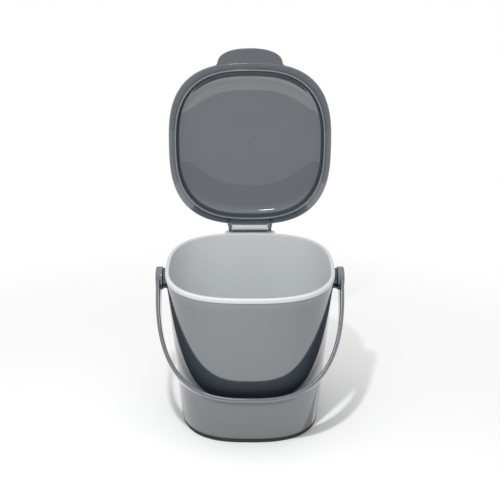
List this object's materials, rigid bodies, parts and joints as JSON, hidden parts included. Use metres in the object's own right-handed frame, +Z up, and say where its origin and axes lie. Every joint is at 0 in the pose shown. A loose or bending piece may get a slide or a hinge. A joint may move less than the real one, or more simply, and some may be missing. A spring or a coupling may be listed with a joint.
{
  "type": "compost caddy",
  "caption": "Countertop compost caddy: rounded-square charcoal bucket with a pale grey liner, a domed lid hinged at the back with a thumb tab, and a wide strap carry handle.",
  "frame": {"origin": "centre of the foot ring's underside, on the surface the caddy stands on", "axes": "+Z up; +Y to the back, where the lid's hinge is, so the front is at -Y; +X to the right seen from the front"},
  "size_m": [0.2088, 0.234, 0.3978],
  "materials": {
    "charcoal_plastic": "gloss charcoal",
    "grey_plastic": "satin pale grey",
    "foot_rubber": "matt black",
    "pin_steel": "drawn steel rod"
  },
  "bodies": {
    "body": {"outer_shell": "charcoal_plastic", "inner_liner": "grey_plastic", "foot_ring": "foot_rubber"},
    "lid": {"lid": "charcoal_plastic", "hinge_pin": "pin_steel"},
    "handle": {"handle": "charcoal_plastic"}
  },
  "joints": [
    {"name": "lid_hinge", "type": "hinge", "parent": "body", "child": "lid", "pos_m": [0, 0.0996, 0.1872], "axis": [1, 0, 0], "range_deg": [0, 96.2]},
    {"name": "handle_swing", "type": "hinge", "parent": "body", "child": "handle", "pos_m": [0, 0, 0.164], "axis": [-1, 0, 0], "range_deg": [0, 175]}
  ]
}
